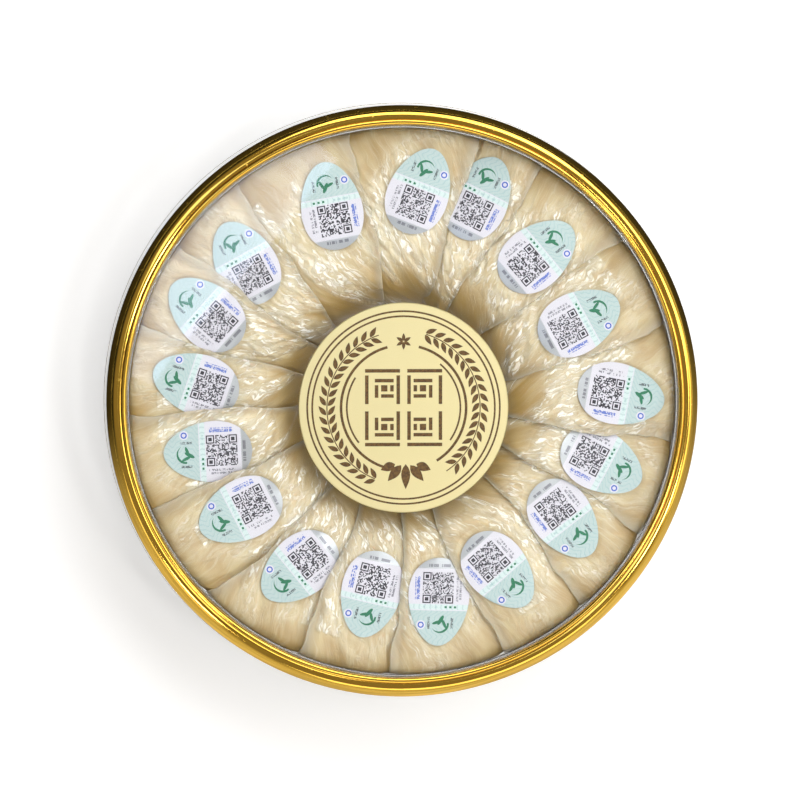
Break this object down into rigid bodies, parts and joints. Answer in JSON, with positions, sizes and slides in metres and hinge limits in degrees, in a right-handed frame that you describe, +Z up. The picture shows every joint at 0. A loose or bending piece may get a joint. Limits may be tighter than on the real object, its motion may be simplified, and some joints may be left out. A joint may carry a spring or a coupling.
{
  "type": "round gift box of edible swiftlet nests",
  "caption": "Flat round clear box with a gold ring and a round medallion on its lid, holding whole edible bird's nests fanned like roof tiles, each with an egg-shaped sticker.",
  "frame": {"origin": "middle of the base dish's flat underside, where the box rests", "axes": "+Z up through the lid, +Y towards the top of the picture, +X towards its right"},
  "size_m": [0.24, 0.24, 0.058],
  "materials": {
    "clear_plastic": "polished",
    "gold_plating": "polished",
    "satin_gold": "satin",
    "dried_strands": "satin",
    "sticker_paper": "satin"
  },
  "bodies": {
    "root": {"base_dish": "clear_plastic", "gold_ring": "gold_plating", "clear_lid": "clear_plastic", "medallion": "satin_gold", "nest_01": "dried_strands", "nest_02": "dried_strands", "nest_03": "dried_strands", "nest_04": "dried_strands", "nest_05": "dried_strands", "nest_06": "dried_strands", "nest_07": "dried_strands", "nest_08": "dried_strands", "nest_09": "dried_strands", "nest_10": "dried_strands", "nest_11": "dried_strands", "nest_12": "dried_strands", "nest_13": "dried_strands", "nest_14": "dried_strands", "nest_15": "dried_strands", "nest_16": "dried_strands", "nest_17": "dried_strands", "label_01": "sticker_paper", "label_02": "sticker_paper", "label_03": "sticker_paper", "label_04": "sticker_paper", "label_05": "sticker_paper", "label_06": "sticker_paper", "label_07": "sticker_paper", "label_08": "sticker_paper", "label_09": "sticker_paper", "label_10": "sticker_paper", "label_11": "sticker_paper", "label_12": "sticker_paper", "label_13": "sticker_paper", "label_14": "sticker_paper", "label_15": "sticker_paper", "label_16": "sticker_paper", "label_17": "sticker_paper"}
  },
  "joints": []
}
